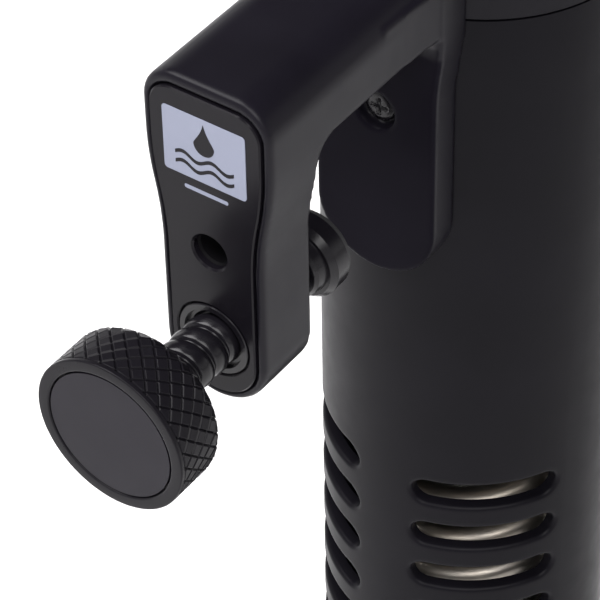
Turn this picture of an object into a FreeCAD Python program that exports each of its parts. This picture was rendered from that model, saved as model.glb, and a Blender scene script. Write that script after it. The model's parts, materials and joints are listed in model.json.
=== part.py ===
import FreeCAD, Part
import os
import sys
import Sketcher
from FreeCAD import Placement, Rotation, Vector

# Stick-shaped immersion circulator with a screw clamp.
# Frame: millimetres, +Z up, origin at the centre of the base, clamp arm towards -Y.

doc = FreeCAD.newDocument("SousVideCirculator")
sheet = doc.addObject("Spreadsheet::Sheet", "Dims")

dimensions = [
    ("tube_radius", 30.0, "outside radius of the stick"),
    ("tube_inner", 28.0, "inside radius of the sleeve"),
    ("sleeve_low", 34.0, "bottom end of the sleeve"),
    ("seam_height", 250.0, "top end of the sleeve"),
    ("seam_gap", 0.4, "gap between sleeve and head"),
    ("slot_radius", 3.1, "half the height of a slot"),
    ("slot_reach", 11.5, "slot end centre from the slot middle"),
    ("slot_low", 62.2, "centre height of the lowest slot"),
    ("slot_pitch", 11.8, "height from slot to slot"),
    ("slot_rows", 7, "slots above one another"),
    ("slot_turn_right", 39.9, "degrees from the arm to the right column"),
    ("slot_turn_left", -43.8, "degrees from the arm to the left column"),
    ("head_radius", 34.0, "outside radius of the upper head"),
    ("head_wall", 2.2, "wall of the head"),
    ("head_straight", 24.0, "height where the head starts to widen"),
    ("head_wide", 56.0, "height where the head is widest"),
    ("head_top", 104.0, "height of the head before its slanted cut"),
    ("slant_middle", 84.0, "height of the slanted cut on the axis"),
    ("slant_turn", 28.0, "slope of the control face in degrees"),
    ("arm_top", 15.8, "top of the beam above the seam"),
    ("arm_under", 0.6, "underside of the beam above the seam"),
    ("leg_front", 83.1, "front face of the outer leg from the axis"),
    ("leg_back", 69.2, "back face of the outer leg from the axis"),
    ("leg_half", 13.0, "half width of the leg's head"),
    ("leg_waist", 10.6, "half width of the leg's foot"),
    ("leg_foot", 41.5, "centre of the leg's round foot below the seam"),
    ("label_depth", 1.2, "depth of the label recess"),
    ("label_inset", 1.45, "rim left around the label recess"),
    ("label_gap", 0.3, "gap around the label plate"),
    ("label_proud", 0.25, "label plate above the rim"),
    ("plate_front", 34.4, "front face of the backing plate from the axis"),
    ("plate_half", 12.8, "half width of the backing plate"),
    ("root_half", 14.1, "half width of the bracket root"),
    ("root_top", 22.0, "top of the bracket root above the seam"),
    ("plate_foot", 44.6, "centre of the plate's round foot below the seam"),
    ("backing_drop", 20.6, "backing screw below the seam"),
    ("screw_height", 211.3, "height of the clamp screw"),
    ("spare_height", 230.9, "height of the spare threaded hole"),
    ("thread_radius", 5.2, "outside radius of the clamp screw"),
    ("thread_pitch", 4.0, "advance of the clamp screw per turn"),
    ("bush_radius", 6.2, "bushing body radius"),
    ("bush_flange", 7.3, "bushing flange radius"),
    ("knob_front", 112.35, "front rim of the knob from the axis"),
    ("knob_rear", 99.6, "rear face of the knob from the axis"),
    ("knob_radius", 15.24, "outside radius of the knob"),
    ("disc_radius", 12.55, "radius of the disc in the knob"),
    ("pad_face", 52.4, "rubber face of the pad from the axis"),
    ("pad_radius", 8.3, "radius of the pressure pad"),
    ("shaft_radius", 2.5, "drive shaft radius"),
    ("coil_radius", 18.6, "mean radius of the heater coil"),
    ("coil_tube", 3.4, "radius of the heater tube"),
    ("coil_low", 60.0, "centre height of the lowest coil turn"),
    ("coil_pitch", 10.8, "height from coil turn to coil turn"),
    ("coil_turns", 7.0, "turns of the heater coil"),
    ("flange_low", 158.0, "underside of the heater flange"),
    ("flange_high", 166.0, "top of the heater flange"),
    ("cap_floor", 2.5, "thickness of the bottom cap's floor"),
    ("cap_wall", 2.4, "wall of the bottom cap"),
]

for row, (alias, value, note) in enumerate(dimensions, start=1):
    sheet.set("A%d" % row, note)
    sheet.set("B%d" % row, str(value))
    sheet.setAlias("B%d" % row, alias)
doc.recompute()

nodes = []


def number(size):
    """Value of a size given as a number or as a sheet expression."""
    if isinstance(size, (int, float)):
        return float(size)
    return float(sheet.evalExpression(size))


def bind(item, path, size):
    """Ties one property of an object to the sheet, or sets it when it is a plain number."""
    if isinstance(size, str):
        item.setExpression(path, size)


def minus(size):
    """The same size with the other sign."""
    return -size if isinstance(size, (int, float)) else "-(%s)" % size


def keep(item, label):
    """Marks an object as one of the finished pieces."""
    item.Label = label
    nodes.append(item)
    return item


def place(item, x=0.0, y=0.0, z=0.0, axis=None, angle=0.0):
    """Places an object, with its position bound to the sheet."""
    turn = Rotation(axis, angle) if axis else Rotation()
    item.Placement = Placement(Vector(number(x), number(y), number(z)), turn)
    for letter, size in (("x", x), ("y", y), ("z", z)):
        bind(item, "Placement.Base.%s" % letter, size)
    return item


# Sketches

def newBody(name, x=0.0, y=0.0, z=0.0):
    body = doc.addObject("PartDesign::Body", name + "_body")
    place(body, x, y, z)
    keep(body, name)
    return body


def newSketch(body, name, role, lift=0.0, turn=0.0):
    """Sketch on one of the body's own origin planes, lifted along and turned about that plane's axes."""
    plane = [item for item in body.Origin.OriginFeatures if item.Role == role][0]
    sketch = body.newObject("Sketcher::SketchObject", name)
    sketch.AttachmentSupport = [(plane, "")]
    sketch.MapMode = "FlatFace"
    sketch.AttachmentOffset = Placement(Vector(0, 0, number(lift)), Rotation(Vector(0, 1, 0), number(turn)))
    bind(sketch, "AttachmentOffset.Base.z", lift)
    bind(sketch, "AttachmentOffset.Rotation.Angle", turn)
    return sketch


def fix(sketch, kind, items, size):
    """Adds a dimension to a sketch and binds it to the sheet."""
    index = sketch.addConstraint(Sketcher.Constraint(kind, *items, number(size)))
    bind(sketch, "Constraints[%d]" % index, size)


def drawCircle(sketch, x, y, radius):
    circle = Part.Circle(Vector(number(x), number(y), 0), Vector(0, 0, 1), number(radius))
    index = sketch.addGeometry(circle, False)
    fix(sketch, "DistanceX", (-1, 1, index, 3), x)
    fix(sketch, "DistanceY", (-1, 1, index, 3), y)
    fix(sketch, "Radius", (index,), radius)


def arcThrough(start, end, radius, left):
    """Short arc from start to end that bends left (anticlockwise) or right."""
    middle = (start + end) * 0.5
    chord = end - start
    rise = max(radius * radius - chord.Length * chord.Length / 4.0, 0.0) ** 0.5
    side = Vector(-chord.y, chord.x, 0).normalize() * (rise if left else -rise)
    centre = middle + side
    first, last = (start, end) if left else (end, start)
    across = Vector(1, 0, 0)
    begin = across.getAngle(first - centre)
    finish = across.getAngle(last - centre)
    begin = -begin if (first - centre).y < 0 else begin
    finish = -finish if (last - centre).y < 0 else finish
    return Part.ArcOfCircle(Part.Circle(centre, Vector(0, 0, 1), radius), begin, finish)


def drawOutline(sketch, corners):
    """Closed outline. A corner is (x, y), or (x, y, radius, bend) when an arc leads to it."""
    spots = [Vector(number(corner[0]), number(corner[1]), 0) for corner in corners]
    pieces = []
    for index, corner in enumerate(corners):
        start = spots[index - 1]
        end = spots[index]
        if len(corner) == 2:
            item = sketch.addGeometry(Part.LineSegment(start, end), False)
            pieces.append((item, 1, 2))
        else:
            left = corner[3] == "left"
            item = sketch.addGeometry(arcThrough(start, end, number(corner[2]), left), False)
            pieces.append((item, 1, 2) if left else (item, 2, 1))
    for index in range(len(corners)):
        before, after = pieces[index], pieces[(index + 1) % len(corners)]
        sketch.addConstraint(Sketcher.Constraint("Coincident", before[0], before[2], after[0], after[1]))
    for index, corner in enumerate(corners):
        item, _, tail = pieces[index]
        fix(sketch, "DistanceX", (-1, 1, item, tail), corner[0])
        fix(sketch, "DistanceY", (-1, 1, item, tail), corner[1])
        if len(corner) == 4:
            fix(sketch, "Radius", (item,), corner[2])


def drawBox(sketch, x0, y0, x1, y1):
    drawOutline(sketch, [(x0, y0), (x1, y0), (x1, y1), (x0, y1)])


def drawSlot(sketch, reach, y, radius):
    """Level slot with round ends, centred on the sketch's upright axis."""
    low = "(%s) - (%s)" % (y, radius)
    high = "(%s) + (%s)" % (y, radius)
    tip = "(%s) + (%s)" % (reach, radius)
    drawOutline(sketch, [
        (minus(reach), low),
        (reach, low),
        (tip, y, radius, "left"),
        (reach, high, radius, "left"),
        (minus(reach), high),
        (minus(tip), y, radius, "left"),
        (minus(reach), low, radius, "left"),
    ][1:])


def drawSpine(sketch, half, corner, top, waist, high, low, foot):
    """Outline with a round-cornered head, a smooth waist and a round foot, the same on both sides."""
    middle = "((%s) + (%s)) / 2" % (half, waist)
    level = "((%s) + (%s)) / 2" % (high, low)
    bend = "(((%s) - (%s)) ^ 2 + ((%s) - (%s)) ^ 2) / (4 * ((%s) - (%s)))" % (
        half, waist, high, low, half, waist)
    shoulder = "(%s) - (%s)" % (half, corner)
    drop = "(%s) - (%s)" % (top, corner)
    toe = "(%s) - (%s)" % (foot, waist)
    drawOutline(sketch, [
        (minus(shoulder), top),
        (minus(half), drop, corner, "left"),
        (minus(half), high),
        (minus(middle), level, bend, "left"),
        (minus(waist), low, bend, "right"),
        (minus(waist), foot),
        (0, toe, waist, "left"),
        (waist, foot, waist, "left"),
        (waist, low),
        (middle, level, bend, "right"),
        (half, high, bend, "left"),
        (half, drop),
        (shoulder, top, corner, "left"),
    ])


# Features

def pad(body, sketch, length, symmetric=False, reverse=False):
    feature = body.newObject("PartDesign::Pad", sketch.Name + "_pad")
    feature.Profile = sketch
    feature.Length = number(length)
    feature.SideType = "Symmetric" if symmetric else "One side"
    feature.Reversed = reverse
    bind(feature, "Length", length)
    doc.recompute()
    return feature


def pocket(body, sketch, length=None, symmetric=True, reverse=False):
    """Cuts a sketch into the body and makes sure that it cut something."""
    before = body.Shape.Volume
    feature = body.newObject("PartDesign::Pocket", sketch.Name + "_pocket")
    feature.Profile = sketch
    feature.SideType = "Symmetric" if symmetric else "One side"
    feature.Reversed = reverse
    if length is None:
        feature.Type = "ThroughAll"
    else:
        feature.Length = number(length)
        bind(feature, "Length", length)
    doc.recompute()
    if not body.Shape.Volume < before - 1e-6:
        sys.exit("%s cut nothing" % feature.Name)
    return feature


def revolve(body, sketch, axis, cut=False):
    kind = "PartDesign::Groove" if cut else "PartDesign::Revolution"
    before = body.Shape.Volume if cut else 0.0
    feature = body.newObject(kind, sketch.Name + ("_groove" if cut else "_turned"))
    feature.Profile = sketch
    feature.ReferenceAxis = (sketch, [axis])
    feature.Angle = 360
    doc.recompute()
    if cut and not body.Shape.Volume < before - 1e-6:
        sys.exit("%s cut nothing" % feature.Name)
    return feature


def repeat(body, feature, count, direction=None, length=None, around=None):
    """Linear pattern along a direction, or a full circle around an axis."""
    before = body.Shape.Volume
    kind = "PartDesign::LinearPattern" if direction else "PartDesign::PolarPattern"
    pattern = body.newObject(kind, feature.Name + "_pattern")
    pattern.Originals = [feature]
    if direction:
        pattern.Direction = direction
        pattern.Length = number(length)
        bind(pattern, "Length", length)
    else:
        pattern.Axis = around
        pattern.Angle = 360
    pattern.Occurrences = int(number(count))
    bind(pattern, "Occurrences", count)
    body.Tip = pattern
    doc.recompute()
    if abs(body.Shape.Volume - before) < 1e-6:
        sys.exit("%s changed nothing" % pattern.Name)
    return pattern


def soften(body, radius, chosen, chamfer=False):
    """Rounds or chamfers the edges of the body's last feature that pass the test."""
    base = body.Tip
    names = []
    for index, edge in enumerate(base.Shape.Edges, start=1):
        if chosen(edge):
            names.append("Edge%d" % index)
    if not names:
        sys.exit("no edges to soften on %s" % base.Name)
    kind = "PartDesign::Chamfer" if chamfer else "PartDesign::Fillet"
    feature = body.newObject(kind, base.Name + ("_chamfer" if chamfer else "_fillet"))
    feature.Base = (base, names)
    if chamfer:
        feature.Size = radius
    else:
        feature.Radius = radius
    doc.recompute()
    return feature


def atLevel(edge, letter, level, tolerance=0.01):
    """True when the whole edge lies at one level of an axis."""
    box = edge.BoundBox
    low = getattr(box, letter + "Min")
    high = getattr(box, letter + "Max")
    return abs(low - level) < tolerance and abs(high - level) < tolerance


def turnedZ(name, corners, x=0.0, y=0.0, z=0.0):
    """Body turned about its own upright axis; corners are (radius, height)."""
    body = newBody(name, x, y, z)
    sketch = newSketch(body, name + "_profile", "XZ_Plane")
    drawOutline(sketch, corners)
    revolve(body, sketch, "V_Axis")
    return body


def turnedY(name, corners, z):
    """Body turned about a level axis at height z; corners are (distance along Y, radius)."""
    body = newBody(name, 0.0, 0.0, z)
    sketch = newSketch(body, name + "_profile", "YZ_Plane")
    drawOutline(sketch, corners)
    revolve(body, sketch, "H_Axis")
    return body


# Primitives

alongY = Vector(1, 0, 0)
alongX = Vector(0, 1, 0)


def rod(name, radius, length, x=0.0, y=0.0, z=0.0, axis=None, angle=0.0):
    item = doc.addObject("Part::Cylinder", name)
    item.Radius = number(radius)
    item.Height = number(length)
    bind(item, "Radius", radius)
    bind(item, "Height", length)
    return place(item, x, y, z, axis, angle)


def block(name, width, depth, height, x, y, z, axis=None, angle=0.0):
    item = doc.addObject("Part::Box", name)
    for key, size in (("Length", width), ("Width", depth), ("Height", height)):
        setattr(item, key, number(size))
        bind(item, key, size)
    return place(item, x, y, z, axis, angle)


def cut(name, base, tools):
    """Base with every tool taken away."""
    for index, tool in enumerate(tools):
        item = doc.addObject("Part::Cut", "%s_cut%d" % (name, index))
        item.Base = base
        item.Tool = tool
        base = item
    doc.recompute()
    return base


def joined(name, items, kind="Part::MultiFuse"):
    item = doc.addObject(kind, name)
    item.Shapes = items
    if kind == "Part::MultiFuse":
        item.Refine = True
    doc.recompute()
    return item


def grouped(name, items):
    """Separate solids that share one node."""
    item = doc.addObject("Part::Compound", name)
    item.Links = items
    doc.recompute()
    return item


def ring(name, outer, inner, low, high, x=0.0, y=0.0):
    """Plain upright ring between two levels."""
    length = "(%s) - (%s)" % (high, low)
    shell = rod(name + "_outside", outer, length, x, y, low)
    hole = rod(name + "_inside", inner, length, x, y, low)
    return cut(name, shell, [hole])


# ---------------------------------------------------------------- stick

sleeve = turnedZ("tube_sleeve", [
    ("Dims.tube_inner", "Dims.sleeve_low"),
    ("Dims.tube_radius - 0.4", "Dims.sleeve_low"),
    ("Dims.tube_radius", "Dims.sleeve_low + 0.4"),
    ("Dims.tube_radius", "Dims.seam_height - 0.3"),
    ("Dims.tube_radius - 0.3", "Dims.seam_height"),
    ("Dims.tube_inner", "Dims.seam_height"),
])
for side, turn in (("right", "Dims.slot_turn_right"), ("left", "Dims.slot_turn_left")):
    slotSketch = newSketch(sleeve, "slot_" + side, "XZ_Plane", turn=turn)
    drawSlot(slotSketch, "Dims.slot_reach", "Dims.slot_low", "Dims.slot_radius")
    slotPocket = pocket(sleeve, slotSketch)
    repeat(sleeve, slotPocket, "Dims.slot_rows", (slotSketch, ["V_Axis"]),
           "Dims.slot_pitch * (Dims.slot_rows - 1)")
backingHole = newSketch(sleeve, "backing_hole", "XZ_Plane")
drawCircle(backingHole, 0, "Dims.seam_height - Dims.backing_drop", 2.1)
pocket(sleeve, backingHole, 40, symmetric=False, reverse=True)
for peg, x in (("left", -8.0), ("right", 8.0)):
    pegHole = newSketch(sleeve, "peg_hole_" + peg, "XZ_Plane")
    drawCircle(pegHole, x, "Dims.seam_height - Dims.plate_foot", 2.1)
    pocket(sleeve, pegHole, 40, symmetric=False, reverse=True)

keep(ring("seam_ring_shape", "Dims.tube_radius - Dims.head_wall - 0.1",
          "Dims.tube_radius - Dims.head_wall - 1.3",
          "Dims.seam_height - 4", "Dims.seam_height + 5"), "seam_ring")

# Chassis tube inside the dry part of the sleeve, with a window for the nut block.
chassis = ring("chassis_ring", "Dims.tube_inner - 0.2", "Dims.tube_inner - 1.4",
               "Dims.flange_high + 0.1", "Dims.seam_height - 4.2")
chassis = cut("chassis", chassis, [
    block("chassis_window", 20, 12, "Dims.backing_drop + 8", -10, -32, "Dims.seam_height - 56"),
    rod("chassis_screw_hole", 2.1, 12, 0, -20, "Dims.seam_height - Dims.backing_drop", alongY, 90),
])
keep(chassis, "chassis_tube")

# ---------------------------------------------------------------- head

head = newBody("head_shell", 0, 0, "Dims.seam_height + Dims.seam_gap")
flare = "((Dims.head_radius - Dims.tube_radius) ^ 2 + (Dims.head_wide - Dims.head_straight) ^ 2)" \
        " / (4 * (Dims.head_radius - Dims.tube_radius))"
flareLevel = "(Dims.head_straight + Dims.head_wide) / 2"
flareMiddle = "(Dims.head_radius + Dims.tube_radius) / 2"
headProfile = newSketch(head, "head_profile", "XZ_Plane")
drawOutline(headProfile, [
    ("Dims.tube_radius - Dims.head_wall", 0),
    ("Dims.tube_radius - 0.3", 0),
    ("Dims.tube_radius", 0.3),
    ("Dims.tube_radius", "Dims.head_straight"),
    (flareMiddle, flareLevel, flare, "right"),
    ("Dims.head_radius", "Dims.head_wide", flare, "left"),
    ("Dims.head_radius", "Dims.head_top"),
    ("Dims.head_radius - Dims.head_wall", "Dims.head_top"),
    ("Dims.head_radius - Dims.head_wall", "Dims.head_wide"),
    (flareMiddle + " - Dims.head_wall", flareLevel, flare, "right"),
    ("Dims.tube_radius - Dims.head_wall", "Dims.head_straight", flare, "left"),
])
revolve(head, headProfile, "V_Axis")
slantSketch = newSketch(head, "head_slant", "YZ_Plane")
drawOutline(slantSketch, [
    (-50, "Dims.slant_middle - 50 * tan(Dims.slant_turn * 1 deg)"),
    (50, "Dims.slant_middle + 50 * tan(Dims.slant_turn * 1 deg)"),
    (50, "Dims.head_top + 60"),
    (-50, "Dims.head_top + 60"),
])
pocket(head, slantSketch)
glandHole = newSketch(head, "gland_hole", "XZ_Plane")
drawCircle(glandHole, 0, 52, 5.2)
pocket(head, glandHole, 60, symmetric=False)
for side, x in (("left", -8.0), ("right", 8.0)):
    rootHole = newSketch(head, "root_hole_" + side, "XZ_Plane")
    drawCircle(rootHole, x, 8.0, 1.7)
    pocket(head, rootHole, 60, symmetric=False, reverse=True)


def slab(name, radius, depth, thickness):
    """Tilted plate cut from an upright cylinder, parallel to the control face and below it."""
    post = rod(name + "_post", radius, "Dims.head_top", 0, 0, "Dims.seam_height")
    tilt = number("Dims.slant_turn")
    sheetBox = doc.addObject("Part::Box", name + "_slab")
    sheetBox.Length = 90
    sheetBox.Width = 90
    sheetBox.Height = thickness
    turned = Rotation(Vector(1, 0, 0), tilt)
    corner = turned.multVec(Vector(-45, -45, -depth - thickness))
    rise = number("Dims.seam_height + Dims.seam_gap + Dims.slant_middle")
    sheetBox.Placement = Placement(corner + Vector(0, 0, rise), turned)
    return joined(name, [post, sheetBox], "Part::MultiCommon")


def onFace(name, width, height, x, y, depth, thickness, corner=0.0):
    """Upright-sided block lying parallel to the control face; x and y are measured on that face."""
    tilt = number("Dims.slant_turn")
    turned = Rotation(Vector(1, 0, 0), tilt)
    rise = number("Dims.seam_height + Dims.seam_gap + Dims.slant_middle")
    base = turned.multVec(Vector(x, y, -depth - thickness)) + Vector(0, 0, rise)
    if corner:
        item = doc.addObject("Part::Cylinder", name)
        item.Radius = corner
        item.Height = thickness
        item.Placement = Placement(base, turned)
        return item
    item = doc.addObject("Part::Box", name)
    item.Length = width
    item.Width = height
    item.Height = thickness
    shift = turned.multVec(Vector(-width / 2.0, -height / 2.0, 0))
    item.Placement = Placement(base + shift, turned)
    return item


panelRadius = "Dims.head_radius - Dims.head_wall - 0.3"
windowWidth = 34.0
windowHeight = 15.0
windowUp = 9.0
keyDrop = -15.0
keySpread = 14.0

panel = cut("panel_plate", slab("panel_slab", panelRadius, 0.5, 2.6), [
    onFace("panel_window_hole", windowWidth + 0.4, windowHeight + 0.4, 0, windowUp, -2.0, 8.0),
])
keep(panel, "control_panel")
keep(onFace("window_pane", windowWidth, windowHeight, 0, windowUp, 0.3, 2.8), "display_window")

frameRing = cut("frame_ring", slab("frame_slab", panelRadius, 3.2, 2.4), [
    onFace("frame_hole", 0, 0, 0, 0, -2.0, 12.0, corner=26.0),
])
keep(frameRing, "panel_frame")
keep(onFace("board_plate", 42, 34, 0, 0, 6.2, 1.6), "display_board")

# Touch symbols printed proud of the panel: minus, ring and plus.
minusBar = onFace("minus_bar", 6.0, 1.1, -keySpread, keyDrop, 0.3, 0.2)
plusBar = onFace("plus_bar", 6.0, 1.1, keySpread, keyDrop, 0.3, 0.2)
plusPost = onFace("plus_post", 1.1, 6.0, keySpread, keyDrop, 0.3, 0.2)
plusMark = joined("plus_mark", [plusBar, plusPost])
startRing = cut("start_ring", onFace("start_outside", 0, 0, 0, keyDrop, 0.3, 0.2, corner=4.4), [
    onFace("start_inside", 0, 0, 0, keyDrop, 0.2, 0.5, corner=3.4),
])
keep(grouped("touch_icon_group", [minusBar, startRing, plusMark]), "touch_icons")

# Cord gland at the back of the head, ribbed and hollow for the mains cord.
gland = turnedY("cord_gland", [
    ("Dims.head_radius - 8", 3.2),
    ("Dims.head_radius - 8", 7.0),
    ("Dims.head_radius - 5", 7.0),
    ("Dims.head_radius - 5", 5.1),
    ("Dims.head_radius + 1", 5.1),
    ("Dims.head_radius + 1", 7.4),
    ("Dims.head_radius + 4", 7.4),
    ("Dims.head_radius + 4", 5.6),
    ("Dims.head_radius + 6", 5.6),
    ("Dims.head_radius + 6", 6.6),
    ("Dims.head_radius + 8.5", 6.5),
    ("Dims.head_radius + 8.5", 5.2),
    ("Dims.head_radius + 10.5", 5.2),
    ("Dims.head_radius + 10.5", 6.0),
    ("Dims.head_radius + 13", 5.9),
    ("Dims.head_radius + 13", 4.8),
    ("Dims.head_radius + 15", 4.8),
    ("Dims.head_radius + 15", 5.4),
    ("Dims.head_radius + 18", 5.2),
    ("Dims.head_radius + 18", 3.2),
], "Dims.seam_height + Dims.seam_gap + 52")

# ---------------------------------------------------------------- bracket

bracket = newBody("clamp_bracket", 0, 0, "Dims.seam_height")
sideSketch = newSketch(bracket, "arm_side", "YZ_Plane")
footLevel = "-(Dims.leg_foot + Dims.leg_waist)"
drawOutline(sideSketch, [
    ("-Dims.plate_front + 0.6", "Dims.arm_top"),
    ("-Dims.leg_front", "Dims.arm_top"),
    ("-Dims.leg_front", footLevel),
    ("-Dims.leg_back", footLevel),
    ("-Dims.leg_back", "Dims.arm_under - 5"),
    ("-Dims.leg_back + 5", "Dims.arm_under", 5, "right"),
    ("-Dims.plate_front - 3", "Dims.arm_under"),
    ("-Dims.plate_front", "Dims.arm_under - 3", 3, "right"),
    ("-Dims.plate_front + 0.6", "Dims.arm_under - 3"),
])
pad(bracket, sideSketch, "2 * Dims.leg_half", symmetric=True)
frontSketch = newSketch(bracket, "arm_front", "XZ_Plane")
drawBox(frontSketch, -40, -80, 40, 40)
drawSpine(frontSketch, "Dims.leg_half", 7.0, "Dims.arm_top", "Dims.leg_waist", 3.0, -21.0,
          "-Dims.leg_foot")
pocket(bracket, frontSketch)
legRimFront = soften(bracket, 1.2, lambda edge: atLevel(edge, "Y", -number("Dims.leg_front")))
labelSketch = newSketch(bracket, "label_recess", "XZ_Plane", lift="Dims.leg_front - Dims.label_depth")
drawSpine(labelSketch, "Dims.leg_half - Dims.label_inset", 5.0, "Dims.arm_top - 2.4",
          "Dims.leg_waist - Dims.label_inset", 3.0, -21.0, "-Dims.leg_foot")
pocket(bracket, labelSketch, 10, symmetric=False, reverse=True)
for boreName, level, radius in (("bush_bore", "Dims.screw_height - Dims.seam_height", "Dims.bush_radius + 0.05"),
                                ("spare_bore", "Dims.spare_height - Dims.seam_height", 5.05)):
    boreSketch = newSketch(bracket, boreName, "XZ_Plane", lift=60)
    drawCircle(boreSketch, 0, level, radius)
    pocket(bracket, boreSketch, 40, symmetric=False, reverse=True)
for side, x in (("left", -8.0), ("right", 8.0)):
    armBore = newSketch(bracket, "arm_bore_" + side, "XZ_Plane", lift="Dims.plate_front - 2")
    drawCircle(armBore, x, "Dims.seam_gap + 8", 1.55)
    pocket(bracket, armBore, 10, symmetric=False, reverse=True)

# Backing plate between the arm and the tube; the root screws pass through it into the arm.
backplate = newBody("backing_plate", 0, 0, "Dims.seam_height")
plateSketch = newSketch(backplate, "plate_outline", "XZ_Plane", lift=24)
drawSpine(plateSketch, "Dims.root_half", 6.0, "Dims.root_top", "Dims.plate_half", 2.0, -17.0,
          "-Dims.plate_foot")
pad(backplate, plateSketch, "Dims.plate_front - 24")
seatSketch = newSketch(backplate, "arm_seat", "XZ_Plane", lift="Dims.plate_front - 0.6")
drawOutline(seatSketch, [
    ("Dims.leg_half", "Dims.arm_under - 3"),
    ("Dims.leg_half", "Dims.arm_top - 7"),
    ("Dims.leg_half - 7", "Dims.arm_top", 7, "left"),
    ("-Dims.leg_half + 7", "Dims.arm_top"),
    ("-Dims.leg_half", "Dims.arm_top - 7", 7, "left"),
    ("-Dims.leg_half", "Dims.arm_under - 3"),
])
pocket(backplate, seatSketch, 5, symmetric=False, reverse=True)
tubeSketch = newSketch(backplate, "tube_clearance", "XY_Plane")
drawCircle(tubeSketch, 0, 0, "Dims.tube_radius + 0.1")
pocket(backplate, tubeSketch)
headRecess = newSketch(backplate, "backing_recess", "XZ_Plane", lift=31.9)
drawCircle(headRecess, 0, "-Dims.backing_drop", 4.0)
pocket(backplate, headRecess, 10, symmetric=False, reverse=True)
shankHole = newSketch(backplate, "backing_shank_hole", "XZ_Plane", lift=24)
drawCircle(shankHole, 0, "-Dims.backing_drop", 2.1)
pocket(backplate, shankHole, 12, symmetric=False, reverse=True)
for side, x in (("left", -8.0), ("right", 8.0)):
    rootBore = newSketch(backplate, "root_bore_" + side, "XZ_Plane", lift=24)
    drawCircle(rootBore, x, "Dims.seam_gap + 8", 1.55)
    pocket(backplate, rootBore, 12, symmetric=False, reverse=True)
    pegSketch = newSketch(backplate, "peg_" + side, "XZ_Plane", lift=27)
    drawCircle(pegSketch, x, "-Dims.plate_foot", 2.0)
    pad(backplate, pegSketch, 5)

label = newBody("label_plate", 0, 0, "Dims.seam_height")
labelFace = newSketch(label, "label_face", "XZ_Plane", lift="Dims.leg_front - Dims.label_depth")
labelTrim = "(Dims.label_inset + Dims.label_gap)"
drawSpine(labelFace, "Dims.leg_half - " + labelTrim, 4.7, "Dims.arm_top - 2.4 - Dims.label_gap",
          "Dims.leg_waist - " + labelTrim, 3.0, -21.0, "-Dims.leg_foot")
pad(label, labelFace, "Dims.label_depth + Dims.label_proud")
labelBush = newSketch(label, "label_bush_hole", "XZ_Plane", lift=60)
drawCircle(labelBush, 0, "Dims.screw_height - Dims.seam_height", "Dims.bush_flange + 0.3")
pocket(label, labelBush, 40, symmetric=False, reverse=True)
labelSpare = newSketch(label, "label_spare_hole", "XZ_Plane", lift=60)
drawCircle(labelSpare, 0, "Dims.spare_height - Dims.seam_height", 3.5)
pocket(label, labelSpare, 40, symmetric=False, reverse=True)
labelFront = number("Dims.leg_front + Dims.label_proud")
soften(label, 0.25, lambda edge: atLevel(edge, "Y", -labelFront) and edge.BoundBox.XLength > 7.5,
       chamfer=True)
soften(label, 0.35, lambda edge: atLevel(edge, "Y", -labelFront) and abs(edge.BoundBox.XLength - 7.0) < 0.1,
       chamfer=True)

# Blank badge patch on the label plate.
badge = newBody("badge_patch", 0, 0, "Dims.seam_height")
badgeFace = newSketch(badge, "badge_face", "XZ_Plane", lift="Dims.leg_front + Dims.label_proud")
drawOutline(badgeFace, [
    (-8.4, -4.0),
    (7.7, -4.0),
    (8.4, -3.3, 0.7, "left"),
    (8.4, 8.6),
    (7.7, 9.3, 0.7, "left"),
    (-7.7, 9.3),
    (-8.4, 8.6, 0.7, "left"),
    (-8.4, -3.3),
    (-7.7, -4.0, 0.7, "left"),
][1:])
pad(badge, badgeFace, 0.15)

bushing = turnedY("screw_bushing", [
    ("-Dims.leg_back - 0.6", "Dims.thread_radius + 0.06"),
    ("-Dims.leg_back - 0.6", "Dims.bush_radius"),
    ("-Dims.leg_front + Dims.label_depth", "Dims.bush_radius"),
    ("-Dims.leg_front + Dims.label_depth", "Dims.bush_flange"),
    ("-Dims.leg_front - 0.15", "Dims.bush_flange"),
    ("-Dims.leg_front - 0.3", "Dims.bush_flange - 0.15"),
    ("-Dims.leg_front - 0.3", 6.15),
    ("-Dims.leg_front + 0.7", 5.9),
    ("-Dims.leg_front + 0.7", "Dims.thread_radius + 0.06"),
], "Dims.screw_height")

spare = turnedY("spare_insert", [
    ("-Dims.leg_front + 13", 3.2),
    ("-Dims.leg_front + 13", 5.0),
    ("-Dims.leg_front + Dims.label_depth + 0.05", 5.0),
    ("-Dims.leg_front + Dims.label_depth + 0.05", 3.6),
    ("-Dims.leg_front + Dims.label_depth + 0.45", 3.2),
], "Dims.spare_height")

# Cross-head screw that holds the backing plate, and the block it threads into.
backing = newBody("backing_screw", 0, 0, "Dims.seam_height - Dims.backing_drop")
backingProfile = newSketch(backing, "backing_profile", "YZ_Plane")
drawOutline(backingProfile, [
    (-20, 0),
    (-20, 1.5),
    (-31.95, 1.5),
    (-31.95, 3.3),
    (-33.0, 3.2),
    (-33.7, 2.2),
    (-33.9, 0),
])
revolve(backing, backingProfile, "H_Axis")
for name, width, tall in (("cross_level", 3.6, 0.8), ("cross_upright", 0.8, 3.6)):
    crossSketch = newSketch(backing, name, "XZ_Plane", lift=32.8)
    drawBox(crossSketch, -width / 2.0, -tall / 2.0, width / 2.0, tall / 2.0)
    pocket(backing, crossSketch, 4, symmetric=False, reverse=True)
nutBore = rod("nut_bore", 1.55, 20, 0, -10, "Dims.seam_height - Dims.backing_drop", alongY, 90)
keep(cut("nut_block_shape", block("nut_stock", 14, 5, 12, -7, -25.2,
                                  "Dims.seam_height - Dims.backing_drop - 6"), [nutBore]), "nut_block")

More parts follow.
